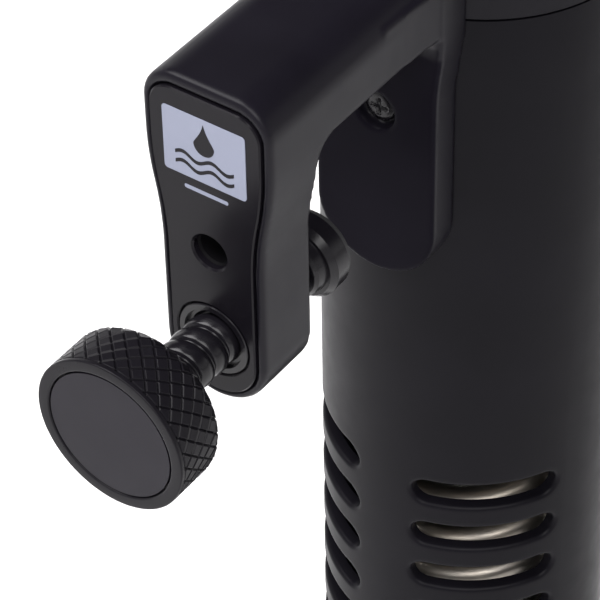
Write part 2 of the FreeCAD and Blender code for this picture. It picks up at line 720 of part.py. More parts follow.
rootScrews = []
for side, x in (("left", -8.0), ("right", 8.0)):
    shank = rod("root_shank_" + side, 1.5, 16.0, x, -25.4, "Dims.seam_height + Dims.seam_gap + 8", alongY, 90)
    crown = rod("root_crown_" + side, 2.8, 1.6, x, -23.9, "Dims.seam_height + Dims.seam_gap + 8", alongY, 90)
    rootScrews.append(joined("root_screw_" + side, [shank, crown]))
keep(grouped("root_screw_group", rootScrews), "root_screws")

# ---------------------------------------------------------------- clamp screw and pad

clampScrew = turnedY("clamp_screw", [
    ("-Dims.pad_face - 2.5", 0),
    ("-Dims.pad_face - 2.5", 3.4),
    ("-Dims.pad_face - 4.1", 3.4),
    ("-Dims.pad_face - 4.1", 2.4),
    ("-Dims.pad_face - 9.1", 2.4),
    ("-Dims.pad_face - 9.1", "Dims.thread_radius - 0.7"),
    ("-Dims.pad_face - 9.8", "Dims.thread_radius"),
    ("-Dims.knob_front + 4.3", "Dims.thread_radius"),
    ("-Dims.knob_front + 4.3", 0),
], "Dims.screw_height")
threadSketch = newSketch(clampScrew, "thread_cut", "YZ_Plane")
drawBox(threadSketch, -64.0, "Dims.thread_radius - 0.6", -63.2, "Dims.thread_radius + 0.5")
thread = clampScrew.newObject("PartDesign::SubtractiveHelix", "thread_groove")
thread.Profile = threadSketch
thread.ReferenceAxis = (threadSketch, ["H_Axis"])
thread.Mode = 0
thread.setExpression("Pitch", "Dims.thread_pitch")
thread.Height = 38.0
thread.Reversed = True
doc.recompute()

knobBite = 3.4
turnedY("clamp_knob", [
    ("-Dims.knob_rear - %s" % knobBite, "Dims.thread_radius + 0.02"),
    ("-Dims.knob_rear - %s" % knobBite, 7.0),
    ("-Dims.knob_rear", 7.0),
    ("-Dims.knob_rear", "Dims.knob_radius - 2.3"),
    ("-Dims.knob_rear - 0.5", "Dims.knob_radius - 1.6"),
    ("-Dims.knob_rear - 2.9", "Dims.knob_radius"),
    ("-Dims.knob_front + 1.2", "Dims.knob_radius"),
    ("-Dims.knob_front + 0.4", "Dims.knob_radius - 0.4"),
    ("-Dims.knob_front", "Dims.knob_radius - 1.2"),
    ("-Dims.knob_front", "Dims.disc_radius + 0.3"),
    ("-Dims.knob_front + 1.7", "Dims.disc_radius + 0.3"),
    ("-Dims.knob_front + 1.7", 4.0),
    ("-Dims.knob_front + 4.2", 4.0),
    ("-Dims.knob_front + 4.2", "Dims.thread_radius + 0.02"),
], "Dims.screw_height")
keep(rod("knob_disc_plate", "Dims.disc_radius", 1.5, 0, "-Dims.knob_front + 1.65", "Dims.screw_height",
         alongY, 90), "knob_disc")

turnedY("pressure_pad", [
    ("-Dims.pad_face - 1.4", 4.0),
    ("-Dims.pad_face - 1.4", "Dims.pad_radius - 0.4"),
    ("-Dims.pad_face - 1.8", "Dims.pad_radius"),
    ("-Dims.pad_face - 5.0", "Dims.pad_radius"),
    ("-Dims.pad_face - 6.2", "Dims.pad_radius - 1.0"),
    ("-Dims.pad_face - 6.2", 6.6),
    ("-Dims.pad_face - 8.1", 6.2),
    ("-Dims.pad_face - 8.7", 5.6),
    ("-Dims.pad_face - 8.7", 2.5),
    ("-Dims.pad_face - 4.5", 2.5),
    ("-Dims.pad_face - 4.5", 4.0),
], "Dims.screw_height")
turnedY("pad_rubber", [
    ("-Dims.pad_face", 0),
    ("-Dims.pad_face", "Dims.pad_radius - 1.2"),
    ("-Dims.pad_face - 0.5", "Dims.pad_radius - 0.7"),
    ("-Dims.pad_face - 1.35", "Dims.pad_radius - 0.7"),
    ("-Dims.pad_face - 1.35", 0),
], "Dims.screw_height")

# ---------------------------------------------------------------- wet end

keep(rod("shaft_rod", "Dims.shaft_radius", 290, 0, 0, 10), "drive_shaft")

bladeCount = 6
hub = ring("impeller_hub", 5.0, "Dims.shaft_radius + 0.02", "11", "23")
backDisc = ring("impeller_disc", 17.5, 4.9, "21.4", "23")
blades = []
for index in range(bladeCount):
    blade = block("blade_%d" % index, 13.4, 1.6, 10.6, 4.0, -0.8, 11.0)
    turn = Rotation(Vector(0, 0, 1), index * 360.0 / bladeCount)
    lean = Rotation(Vector(0, 0, 1), -24.0)
    pivot = turn.multVec(Vector(4.4, 0, 0))
    blade.Placement = Placement(pivot + Vector(0, 0, 11.0), turn.multiply(lean))
    blades.append(blade)
impellerStock = joined("impeller_stock", [hub, backDisc] + blades)
impellerTrim = rod("impeller_trim", 17.5, 40, 0, 0, 0)
impellerCut = joined("impeller_turned", [impellerStock, impellerTrim], "Part::MultiCommon")
impellerBore = rod("impeller_bore", "Dims.shaft_radius + 0.02", 40, 0, 0, 0)
keep(cut("impeller_shape", impellerCut, [impellerBore]), "impeller")

# Bottom cap: cup with a spigot in the sleeve, outlet windows round the impeller and a drilled floor.
cap = turnedZ("bottom_cap", [
    (0, 0),
    ("Dims.tube_radius - 1.5", 0),
    ("Dims.tube_radius", 1.5),
    ("Dims.tube_radius", "Dims.sleeve_low - 0.7"),
    ("Dims.tube_radius - 0.4", "Dims.sleeve_low - 0.3"),
    ("Dims.tube_inner - 0.25", "Dims.sleeve_low - 0.3"),
    ("Dims.tube_inner - 0.25", "Dims.sleeve_low + 2"),
    ("Dims.tube_inner - 0.95", "Dims.sleeve_low + 2"),
    ("Dims.tube_inner - 0.95", "Dims.sleeve_low + 4"),
    ("Dims.tube_inner - 0.25", "Dims.sleeve_low + 4"),
    ("Dims.tube_inner - 0.25", "Dims.sleeve_low + 6"),
    ("Dims.tube_radius - Dims.cap_wall - 1.6", "Dims.sleeve_low + 6"),
    ("Dims.tube_radius - Dims.cap_wall - 1.6", "Dims.cap_floor + 1.5"),
    ("Dims.tube_radius - Dims.cap_wall - 3.1", "Dims.cap_floor"),
    (0, "Dims.cap_floor"),
])
outletSketch = newSketch(cap, "outlet_window", "XZ_Plane")
drawSlot(outletSketch, 5.5, "16", "4.5")
outlet = pocket(cap, outletSketch, 60, symmetric=False)
upright = [item for item in cap.Origin.OriginFeatures if item.Role == "Z_Axis"][0]
repeat(cap, outlet, 6, around=(upright, [""]))
drainSketch = newSketch(cap, "drain_hole", "XY_Plane")
drawCircle(drainSketch, 12, 0, 2.5)
drain = pocket(cap, drainSketch)
repeat(cap, drain, 8, around=(upright, [""]))
keep(ring("cap_seal_shape", "Dims.tube_inner - 0.15", "Dims.tube_inner - 0.9",
          "Dims.sleeve_low + 2.1", "Dims.sleeve_low + 3.9"), "cap_seal")

# Pump plate hangs on four stay rods from the heater flange.
stayRadius = 24.2
pumpPlate = newBody("pump_plate", 0, 0, 27.0)
plateDisc = newSketch(pumpPlate, "pump_disc", "XY_Plane")
drawCircle(plateDisc, 0, 0, "Dims.tube_radius - Dims.cap_wall - 1.9")
drawCircle(plateDisc, 0, 0, 4.5)
pad(pumpPlate, plateDisc, 2.5)
inletSketch = newSketch(pumpPlate, "inlet_hole", "XY_Plane")
drawCircle(inletSketch, 12.5, 0, 3.6)
inlet = pocket(pumpPlate, inletSketch)
plateAxis = [item for item in pumpPlate.Origin.OriginFeatures if item.Role == "Z_Axis"][0]
repeat(pumpPlate, inlet, 8, around=(plateAxis, [""]))
keep(ring("shaft_bush_shape", 4.45, "Dims.shaft_radius + 0.05", "26.2", "32"), "shaft_bushing")

stays = []
for index in range(4):
    turn = Rotation(Vector(0, 0, 1), -3.0 + 90.0 * index)
    spot = turn.multVec(Vector(0, -stayRadius, 0))
    stays.append(rod("stay_%d" % index, 1.5, "Dims.flange_low - 29.6", spot.x, spot.y, 29.55))
keep(grouped("stay_rod_group", stays), "stay_rods")

# ---------------------------------------------------------------- heater

coilTop = "(Dims.coil_low + Dims.coil_pitch * Dims.coil_turns)"
legIn = 9.6
coilStart = Rotation(Vector(0, 0, 1), 90.0)
helix = doc.addObject("Part::Helix", "coil_path")
helix.setExpression("Pitch", "Dims.coil_pitch")
helix.setExpression("Height", "Dims.coil_pitch * Dims.coil_turns")
helix.setExpression("Radius", "Dims.coil_radius")
section = doc.addObject("Part::Circle", "coil_section")
section.setExpression("Radius", "Dims.coil_tube")
section.Placement = Placement(Vector(number("Dims.coil_radius"), 0, 0), Rotation(Vector(1, 0, 0), 90))
section.setExpression("Placement.Base.x", "Dims.coil_radius")
doc.recompute()
sweep = doc.addObject("Part::Sweep", "coil_sweep")
sweep.Sections = [section]
sweep.Spine = (helix, ["Edge1"])
sweep.Solid = True
sweep.Frenet = True
sweep.Placement = Placement(Vector(0, 0, number("Dims.coil_low")), coilStart)
sweep.setExpression("Placement.Base.z", "Dims.coil_low")
doc.recompute()


def ball(name, radius, x, y, z):
    item = doc.addObject("Part::Sphere", name)
    item.Radius = number(radius)
    bind(item, "Radius", radius)
    return place(item, x, y, z)


upLeg = rod("coil_up_leg", "Dims.coil_tube - 0.02", "176 - " + coilTop, 0, "Dims.coil_radius", coilTop)
upElbow = ball("coil_up_elbow", "Dims.coil_tube + 0.01", 0, "Dims.coil_radius", coilTop)
crossRun = rod("coil_cross_run", "Dims.coil_tube - 0.02", "Dims.coil_radius - %s" % legIn, 0,
               "Dims.coil_radius", "Dims.coil_low", alongY, 90)
lowElbow = ball("coil_low_elbow", "Dims.coil_tube + 0.01", 0, "Dims.coil_radius", "Dims.coil_low")
inElbow = ball("coil_in_elbow", "Dims.coil_tube - 0.01", 0, legIn, "Dims.coil_low")
inLeg = rod("coil_in_leg", "Dims.coil_tube - 0.02", "176 - Dims.coil_low", 0, legIn, "Dims.coil_low")
keep(joined("heater_coil_shape", [sweep, upElbow, upLeg, lowElbow, crossRun, inElbow, inLeg]),
     "heater_coil")

flangeStock = rod("flange_stock", "Dims.tube_inner - 0.2", "Dims.flange_high - Dims.flange_low", 0, 0,
                  "Dims.flange_low")
flangeHoles = [
    rod("flange_up_leg", "Dims.coil_tube + 0.03", 20, 0, "Dims.coil_radius", 150),
    rod("flange_in_leg", "Dims.coil_tube + 0.03", 20, 0, legIn, 150),
    rod("flange_shaft", 5.5, 20, 0, 0, 150),
    rod("flange_probe", 2.25, 20, 11, -5.5, 150),
    rod("flange_pin_a", 1.55, 20, -9, -9, 150),
    rod("flange_pin_b", 1.55, 20, -12, -3.5, 150),
]
keep(cut("heater_flange_shape", flangeStock, flangeHoles), "heater_flange")
keep(ring("shaft_seal_shape", 5.45, "Dims.shaft_radius + 0.05", "Dims.flange_low - 1",
          "Dims.flange_high + 1.5"), "shaft_seal")

probeRod = rod("probe_rod", 2.2, 84, 11, -5.5, 92)
probeTip = ball("probe_tip", 2.2, 11, -5.5, 92)
keep(joined("temp_probe_shape", [probeRod, probeTip]), "temp_probe")
longPin = rod("long_pin", 1.5, 62, -9, -9, 112)
shortPin = rod("short_pin", 1.5, 36, -12, -3.5, 138)
keep(grouped("level_pin_group", [longPin, shortPin]), "level_pins")

leads = [
    rod("up_lead", 1.2, 66, 0, "Dims.coil_radius", 176.1),
    rod("in_lead", 1.2, 66, 0, legIn, 176.1),
]
keep(grouped("lead_group", leads), "heater_leads")

# ---------------------------------------------------------------- motor and electronics

mount = newBody("motor_mount", 0, 0, "Dims.seam_height - 4")
mountDisc = newSketch(mount, "mount_disc", "XY_Plane")
drawCircle(mountDisc, 0, 0, "Dims.tube_inner - 1.6")
drawCircle(mountDisc, 0, 0, 6.2)
pad(mount, mountDisc, 3)
mountSlot = newSketch(mount, "mount_wire_slot", "XY_Plane")
drawCircle(mountSlot, 0, 21.5, 3.0)
pocket(mount, mountSlot)
mountHole = newSketch(mount, "mount_screw_hole", "XY_Plane")
drawCircle(mountHole, 12, 0, 1.6)
mountDrill = pocket(mount, mountHole)
mountAxis = [item for item in mount.Origin.OriginFeatures if item.Role == "Z_Axis"][0]
repeat(mount, mountDrill, 4, around=(mountAxis, [""]))

motorCase = turnedZ("motor_case", [
    (6.05, 0),
    (17.0, 0),
    (18.0, 1.0),
    (18.0, 39.0),
    (17.0, 40.0),
    (6.05, 40.0),
    (6.05, 38.2),
    (16.4, 38.2),
    (16.4, 1.8),
    (6.05, 1.8),
], z="Dims.seam_height - 0.95")
motorHole = newSketch(motorCase, "motor_screw_hole", "XY_Plane")
drawCircle(motorHole, 12, 0, 1.55)
motorDrill = pocket(motorCase, motorHole, 3.4, symmetric=True)
motorAxis = [item for item in motorCase.Origin.OriginFeatures if item.Role == "Z_Axis"][0]
repeat(motorCase, motorDrill, 4, around=(motorAxis, [""]))

bearings = [
    ring("low_bearing", 6.0, "Dims.shaft_radius + 0.05", "Dims.seam_height - 4", "Dims.seam_height + 1"),
    ring("top_bearing", 6.0, "Dims.shaft_radius + 0.05", "Dims.seam_height + 36.8", "Dims.seam_height + 40"),
]
keep(grouped("bearing_group", bearings), "motor_bearings")

rotorStock = ring("rotor_stock", 12.5, "Dims.shaft_radius + 0.02", "Dims.seam_height + 6",
                  "Dims.seam_height + 32")
keep(rotorStock, "motor_rotor")

magnets = []
for index in range(4):
    turn = Rotation(Vector(0, 0, 1), 90.0 * index)
    outer = rod("stator_outer_%d" % index, 16.3, 24, 0, 0, "Dims.seam_height + 7")
    inner = rod("stator_inner_%d" % index, 13.2, 24, 0, 0, "Dims.seam_height + 7")
    wedge = block("stator_wedge_%d" % index, 18, 18, 24, -9, 6, "Dims.seam_height + 7")
    shell = cut("stator_shell_%d" % index, outer, [inner])
    piece = joined("stator_%d" % index, [shell, wedge], "Part::MultiCommon")
    piece.Placement = Placement(Vector(0, 0, 0), turn)
    magnets.append(piece)
keep(grouped("stator_group", magnets), "stator_magnets")

motorScrews = []
for index in range(4):
    turn = Rotation(Vector(0, 0, 1), 90.0 * index)
    spot = turn.multVec(Vector(12, 0, 0))
    shank = rod("mount_shank_%d" % index, 1.5, 5.0, spot.x, spot.y, "Dims.seam_height - 4.6")
    crown = rod("mount_crown_%d" % index, 2.6, 1.6, spot.x, spot.y, "Dims.seam_height - 5.65")
    motorScrews.append(joined("mount_screw_%d" % index, [shank, crown]))
keep(grouped("motor_screw_group", motorScrews), "motor_screws")

fanHub = ring("fan_hub", 5.0, "Dims.shaft_radius + 0.02", "Dims.seam_height + 42", "Dims.seam_height + 49")
vanes = []
for index in range(7):
    turn = Rotation(Vector(0, 0, 1), index * 360.0 / 7)
    pitch = Rotation(Vector(1, 0, 0), 35.0)
    vane = block("vane_%d" % index, 12.0, 6.4, 0.9, 4.4, 0, 0)
    spot = turn.multVec(Vector(4.4, 0, 0) + pitch.multVec(Vector(0, -3.2, -0.45)))
    vane.Placement = Placement(spot + Vector(0, 0, number("Dims.seam_height") + 45.5), turn.multiply(pitch))
    vanes.append(vane)
keep(joined("fan_shape", [fanHub] + vanes), "cooling_fan")

keep(block("board_stock", 30, 1.6, 44, -15, 21.6, "Dims.seam_height + 5.2"), "power_board")
boardParts = [
    block("choke", 12, 2.2, 12, -13, 19.3, "Dims.seam_height + 10"),
    block("relay", 10, 2.4, 15, 2, 19.1, "Dims.seam_height + 10"),
    block("driver", 16, 2.0, 9, -8, 19.5, "Dims.seam_height + 34"),
]
keep(grouped("board_part_group", boardParts), "board_parts")

# ---------------------------------------------------------------- check and write

doc.recompute()
bad = []
for item in doc.Objects:
    if "Invalid" in item.State or "Error" in item.State:
        bad.append("%s is %s" % (item.Name, item.State))
for item in nodes:
    shape = item.Shape
    if shape.isNull() or not shape.isValid() or shape.Volume <= 0:
        bad.append("%s has no valid shape" % item.Label)
if bad:
    sys.exit("\n".join(bad))

os.makedirs("parts", exist_ok=True)
for item in nodes:
    item.Shape.exportStep("parts/%s.step" % item.Label)
    box = item.Shape.BoundBox
    print("%-16s %2d solid(s) %9.1f mm3  x %6.1f %6.1f  y %7.1f %6.1f  z %6.1f %6.1f" % (
        item.Label, len(item.Shape.Solids), item.Shape.Volume,
        box.XMin, box.XMax, box.YMin, box.YMax, box.ZMin, box.ZMax))
print("%d nodes written" % len(nodes))
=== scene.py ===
import json
from math import asin, atan2, cos, pi, radians, sin, sqrt

import bmesh
import bpy
from mathutils import Matrix, Vector


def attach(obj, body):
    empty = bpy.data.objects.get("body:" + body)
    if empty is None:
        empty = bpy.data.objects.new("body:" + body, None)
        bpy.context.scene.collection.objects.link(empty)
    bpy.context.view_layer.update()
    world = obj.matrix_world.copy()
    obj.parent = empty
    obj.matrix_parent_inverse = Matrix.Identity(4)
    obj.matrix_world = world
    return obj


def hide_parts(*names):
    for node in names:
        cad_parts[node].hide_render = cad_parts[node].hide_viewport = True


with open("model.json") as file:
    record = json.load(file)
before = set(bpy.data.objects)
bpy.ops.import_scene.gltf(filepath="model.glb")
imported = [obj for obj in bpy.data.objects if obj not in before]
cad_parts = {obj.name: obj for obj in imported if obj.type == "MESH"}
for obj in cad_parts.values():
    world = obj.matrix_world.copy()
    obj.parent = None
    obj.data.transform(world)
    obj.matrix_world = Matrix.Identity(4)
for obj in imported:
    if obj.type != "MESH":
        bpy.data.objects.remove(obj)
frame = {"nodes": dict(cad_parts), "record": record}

scene = bpy.context.scene
nodes = frame["nodes"]
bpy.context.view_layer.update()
mm = 0.001
print("frame loaded:", len(nodes), "nodes")


# small helpers

def vertsOf(geometry):
    return [g for g in geometry if isinstance(g, bmesh.types.BMVert)]


def edgesOf(geometry):
    return [g for g in geometry if isinstance(g, bmesh.types.BMEdge)]


def openEdges(bm, test):
    # open edges whose two ends both pass a test of their place
    return [e for e in bm.edges if e.is_boundary and all(test(v.co) for v in e.verts)]


def linkPiece(bm, name, slotName, body, sharp, recalc=True):
    # turns a bmesh into a finished piece that rides on a body
    if recalc:
        bmesh.ops.recalc_face_normals(bm, faces=bm.faces)
    mesh = bpy.data.meshes.new(name)
    bm.to_mesh(mesh)
    bm.free()
    piece = bpy.data.objects.new(name, mesh)
    scene.collection.objects.link(piece)
    mesh.materials.append(finishes[slotName])
    mesh.shade_smooth()
    if sharp:
        mesh.set_sharp_from_angle(angle=radians(sharp))
    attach(piece, body)
    return piece


def latheInto(bm, profile, centre, axis, steps):
    # profile is a closed list of (distance along the axis, radius) in metres, turned a full circle
    along, out = Vector(axis), Vector((1, 0, 0))
    ring = [bm.verts.new(Vector(centre) + along * a + out * r) for a, r in profile]
    edges = [bm.edges.new(pair) for pair in zip(ring, ring[1:])]
    edges.append(bm.edges.new((ring[-1], ring[0])))
    bmesh.ops.spin(bm, geom=ring + edges, cent=centre, axis=axis, angle=2 * pi, steps=steps,
                   use_merge=True, use_duplicate=False)
    bmesh.ops.remove_doubles(bm, verts=bm.verts, dist=1e-6)


def rounded(profile, radius, segments=4, share=0.45):
    # softens every inner corner of an open profile with a short run of points
    soft = [profile[0]]
    for before, corner, after in zip(profile, profile[1:], profile[2:]):
        corner = Vector(corner)
        back, ahead = Vector(before) - corner, Vector(after) - corner
        reach = min(radius, back.length * share, ahead.length * share)
        start, end = corner + back.normalized() * reach, corner + ahead.normalized() * reach
        for i in range(segments + 1):
            t = i / segments
            soft.append(tuple(start * (1 - t) ** 2 + corner * 2 * t * (1 - t) + end * t * t))
    return soft + [profile[-1]]


# materials

bumpDepth = {"grain": 0.03 * mm, "lines": 0.02 * mm, "rings": 0.01 * mm}


def newMaterial(name):
    material = bpy.data.materials.new(name)
    material.use_nodes = True
    tree = material.node_tree
    shader = tree.nodes["Principled BSDF"]
    return material, tree, shader


def objectCoords(tree, scale=(1, 1, 1)):
    coords = tree.nodes.new("ShaderNodeTexCoord")
    mapping = tree.nodes.new("ShaderNodeMapping")
    mapping.inputs["Scale"].default_value = scale
    tree.links.new(coords.outputs["Object"], mapping.inputs["Vector"])
    return mapping.outputs["Vector"]


def noise(tree, vector, scale, detail=3.0, rough=0.5):
    node = tree.nodes.new("ShaderNodeTexNoise")
    node.inputs["Scale"].default_value = scale
    node.inputs["Detail"].default_value = detail
    node.inputs["Roughness"].default_value = rough
    tree.links.new(vector, node.inputs["Vector"])
    return node.outputs["Fac"]


def ramp(tree, factor, low, high, start=0.3, end=0.7):
    # spreads a factor between two grey levels or two colours
    node = tree.nodes.new("ShaderNodeValToRGB")
    first, last = node.color_ramp.elements
    first.position, last.position = start, end
    first.color = low if isinstance(low, tuple) else (low, low, low, 1)
    last.color = high if isinstance(high, tuple) else (high, high, high, 1)
    tree.links.new(factor, node.inputs["Fac"])
    return node.outputs["Color"]


def addBump(tree, shader, factor, strength, distance):
    bump = tree.nodes.new("ShaderNodeBump")
    bump.inputs["Strength"].default_value = strength
    bump.inputs["Distance"].default_value = distance
    tree.links.new(factor, bump.inputs["Height"])
    tree.links.new(bump.outputs["Normal"], shader.inputs["Normal"])


def tint(colour, gain):
    return tuple(min(1.0, channel * gain) for channel in colour) + (1,)


def moulded(name, colour, roughness=0.4, spread=0.06, grain=5200, bump=0.12, specular=0.5, metallic=0.0,
            cloud=60, stretch=(1, 1, 1), shift=0.12, coat=0.0, coatRough=0.1):
    # satin moulded or painted surface: cloudy tone, uneven gloss and a fine grain
    material, tree, shader = newMaterial(name)
    wide = objectCoords(tree)
    fine = objectCoords(tree, stretch)
    clouds = noise(tree, wide, cloud, 4)
    tree.links.new(ramp(tree, clouds, tint(colour, 1 - shift), tint(colour, 1 + shift)),
                   shader.inputs["Base Color"])
    gloss = noise(tree, wide, cloud * 2.3, 5, 0.6)
    tree.links.new(ramp(tree, gloss, roughness - spread, roughness + spread), shader.inputs["Roughness"])
    addBump(tree, shader, noise(tree, fine, grain, 2), bump, bumpDepth["grain"])
    shader.inputs["Metallic"].default_value = metallic
    shader.inputs["Specular IOR Level"].default_value = specular
    shader.inputs["Coat Weight"].default_value = coat
    shader.inputs["Coat Roughness"].default_value = coatRough
    return material


def brushed(name, colour, roughness, stretch, bump, warm=None):
    # metal with fine drawn lines, and a faint heat tint where warm is given
    material, tree, shader = newMaterial(name)
    lines = noise(tree, objectCoords(tree, stretch), 1.0, 4, 0.7)
    patches = noise(tree, objectCoords(tree), 90, 3)
    tree.links.new(ramp(tree, patches, tint(colour, 0.8), tint(warm or colour, 1.1)),
                   shader.inputs["Base Color"])
    tree.links.new(ramp(tree, lines, roughness - 0.08, roughness + 0.1), shader.inputs["Roughness"])
    addBump(tree, shader, lines, bump, bumpDepth["lines"])
    shader.inputs["Metallic"].default_value = 1.0
    return material


def turned(name, colour, roughness):
    # lathe-turned metal: rings around the axis, from the distance to it
    material, tree, shader = newMaterial(name)
    wave = tree.nodes.new("ShaderNodeTexWave")
    wave.wave_type = "RINGS"
    wave.rings_direction = "Z"
    wave.inputs["Scale"].default_value = 450
    wave.inputs["Distortion"].default_value = 1.5
    wave.inputs["Detail"].default_value = 3
    tree.links.new(objectCoords(tree), wave.inputs["Vector"])
    patches = noise(tree, objectCoords(tree), 120, 3)
    tree.links.new(ramp(tree, patches, tint(colour, 0.85), tint(colour, 1.1)), shader.inputs["Base Color"])
    tree.links.new(ramp(tree, wave.outputs["Fac"], roughness - 0.05, roughness + 0.08),
                   shader.inputs["Roughness"])
    addBump(tree, shader, wave.outputs["Fac"], 0.1, bumpDepth["rings"])
    shader.inputs["Metallic"].default_value = 1.0
    return material


# moulded: name, colour, roughness, spread, grain, bump, specular; brushed: name, colour, roughness,
# stretch, bump, warm colour; turned: name, colour, roughness
finishes = {
    "sleeve_black": moulded("sleeveSatin", (0.0038, 0.0035, 0.0049), 0.38, 0.04, 3800, 0.06, 0.05,
                            stretch=(1, 1, 0.35)),
    "head_black": moulded("headSatin", (0.0052, 0.0048, 0.0066), 0.42, 0.04, 3600, 0.08, 0.08),
    "bracket_black": moulded("bracketSatin", (0.0050, 0.0044, 0.0068), 0.35, 0.03, 4200, 0.04, 0.10),
    "label_dark": moulded("labelFilm", (0.0046, 0.0040, 0.0056), 0.25, 0.02, 5200, 0.03, 0.09),
    "badge_pale": moulded("badgePrint", (0.19, 0.204, 0.262), 0.5, 0.04, 6000, 0.04, 0.2, shift=0.03),
    "screw_black": moulded("screwBlack", (0.0048, 0.0043, 0.0058), 0.25, 0.04, 2600, 0.05, 0.22,
                           stretch=(1, 0.2, 1)),
    "knob_black": moulded("knobBlack", (0.0052, 0.0047, 0.0062), 0.30, 0.04, 3400, 0.05, 0.08),
    "disc_dark": moulded("discPaint", (0.0075, 0.0064, 0.0098), 0.42, 0.03, 5200, 0.04, 0.10),
    "rubber_black": moulded("rubberBlack", (0.014, 0.014, 0.015), 0.62, 0.06, 2600, 0.2, 0.35),
    "panel_gloss": moulded("panelGloss", (0.010, 0.010, 0.012), 0.30, 0.03, 2600, 0.01, 0.25, coat=0.05,
                           coatRough=0.15),
    "window_glass": moulded("windowSmoke", (0.006, 0.009, 0.014), 0.16, 0.02, 2600, 0.01, 0.3, coat=0.1,
                            coatRough=0.08),
    "icon_pale": moulded("iconPrint", (0.62, 0.66, 0.72), 0.45, 0.04, 5000, 0.05, 0.4, shift=0.04),
    "inner_grey": moulded("innerGrey", (0.09, 0.09, 0.10), 0.5, 0.05, 2600, 0.1, 0.4),
    "pump_pale": moulded("pumpNylon", (0.55, 0.54, 0.50), 0.45, 0.05, 2400, 0.08, 0.45, shift=0.06),
    "board_green": moulded("boardMask", (0.012, 0.075, 0.035), 0.3, 0.04, 1800, 0.08, 0.5, shift=0.3,
                           cloud=320),
    "coil_steel": brushed("coilSteel", (0.27, 0.255, 0.235), 0.38, (60, 60, 2600), 0.12, (0.29, 0.26, 0.22)),
    "plain_steel": brushed("plainSteel", (0.62, 0.62, 0.63), 0.26, (1800, 1800, 60), 0.08),
    "zinc_steel": brushed("zincSteel", (0.58, 0.59, 0.62), 0.36, (400, 400, 400), 0.12, (0.60, 0.60, 0.56)),
    "bush_brass": turned("bushBrass", (0.72, 0.52, 0.22), 0.26),
    "magnet_dark": moulded("magnetDark", (0.035, 0.034, 0.036), 0.4, 0.06, 1800, 0.15, 0.5, 0.6),
}


def smoothBand(tree, value, start, end):
    node = tree.nodes.new("ShaderNodeMapRange")
    node.interpolation_type = "SMOOTHSTEP"
    node.inputs["From Min"].default_value, node.inputs["From Max"].default_value = start, end
    tree.links.new(value, node.inputs["Value"])
    return node.outputs["Result"]


def multiply(tree, first, second):
    node = tree.nodes.new("ShaderNodeMath")
    node.operation = "MULTIPLY"
    tree.links.new(first, node.inputs[0])
    tree.links.new(second, node.inputs[1])
    return node.outputs["Value"]


# painted shade on the jaw face: where it lies, and the specular shine outside and inside it
jawFace = {"y": -34.4 * mm, "top": 247.2 * mm, "shine": 0.10, "shadedShine": 0.01}


def paintJawShade(material, size):
    # painted shade: the jaw's flat face under the arm keeps less specular shine than the rest of the bracket,
    # standing in for the arm's shadow and the floor reflection it hides
    face, top = size["y"], size["top"]
    tree = material.node_tree
    split = tree.nodes.new("ShaderNodeSeparateXYZ")
    tree.links.new(objectCoords(tree), split.inputs["Vector"])
    mask = multiply(tree, smoothBand(tree, split.outputs["Y"], face - 0.7 * mm, face - 0.3 * mm),
                    smoothBand(tree, split.outputs["Y"], face + 0.9 * mm, face + 0.3 * mm))
    mask = multiply(tree, mask, smoothBand(tree, split.outputs["Z"], top, top - 2 * mm))
    shine = tree.nodes.new("ShaderNodeMapRange")
    shine.inputs["To Min"].default_value = size["shine"]
    shine.inputs["To Max"].default_value = size["shadedShine"]
    tree.links.new(mask, shine.inputs["Value"])
    shader = tree.nodes["Principled BSDF"]
    tree.links.new(shine.outputs["Result"], shader.inputs["Specular IOR Level"])


paintJawShade(finishes["bracket_black"], jawFace)
for entry in frame["record"]["subparts"]:
    holder = nodes[entry["node"]]
    holder.data.materials.clear()
    holder.data.materials.append(finishes[entry["material_slot"]])
# painted shade: the spare insert gets a darker, rougher black than the bracket so its hole reads dark
insertPaintedShade = moulded("insertPaintedShade", (0.0030, 0.0028, 0.0034), 0.6, 0.05, 2600, 0.1, 0.05)
nodes["spare_insert"].data.materials[0] = insertPaintedShade
print("finishes:", len(finishes))


# slotted sleeve

sleeveSize = {
    "radius": 30.0 * mm, "wall": 2.0 * mm, "low": 34.0 * mm, "high": 250.0 * mm,
    "slotRadius": 3.1 * mm, "slotReach": 11.5 * mm, "slotLow": 62.2 * mm, "slotPitch": 11.8 * mm,
    "rows": 7, "turns": (-43.8, 39.9), "rim": 0.95 * mm, "lip": 2.7 * mm, "ledge": 0.7 * mm,
    "ledgeDip": 0.12 * mm, "chamfer": 0.25 * mm, "cellHalf": 17.8 * mm, "cellStraight": 0.66,
    "cellEnd": 0.34, "points": 96, "stepsBetween": 6, "stepsAround": 36, "stepsBelow": 6, "stepsAbove": 18,
}


def ringPlace(size, turn, mix, spread):
    # a point laid flat: mix 0 lies on the cell's rectangle, mix 1 on the slot's outline
    turn = (turn + 0.125) % 1.0
    quarter, along = int(turn * 4), turn * 4 % 1.0
    side = (1, 1, -1, -1)[quarter]
    radius, reach = size["slotRadius"] + spread, size["slotReach"]
    halfWide, halfTall = size["cellHalf"], size["slotPitch"] / 2
    if quarter % 2:
        across, y = side * reach * (1 - 2 * along), side * radius
        edge = Vector((across / reach * halfWide * size["cellStraight"], side * halfTall))
    else:
        swing = radians(90 * (2 * along - 1))
        across, y = side * (reach + radius * cos(swing)), side * radius * sin(swing)
        bulge = max(cos(swing), abs(sin(swing)))
        edge = Vector((side * halfWide * (size["cellStraight"] + size["cellEnd"] * cos(swing) / bulge),
                       side * halfTall * sin(swing) / bulge))
    arc = size["radius"] * asin(max(-0.95, min(0.95, across / size["radius"])))
    return edge.lerp(Vector((arc, y)), mix)


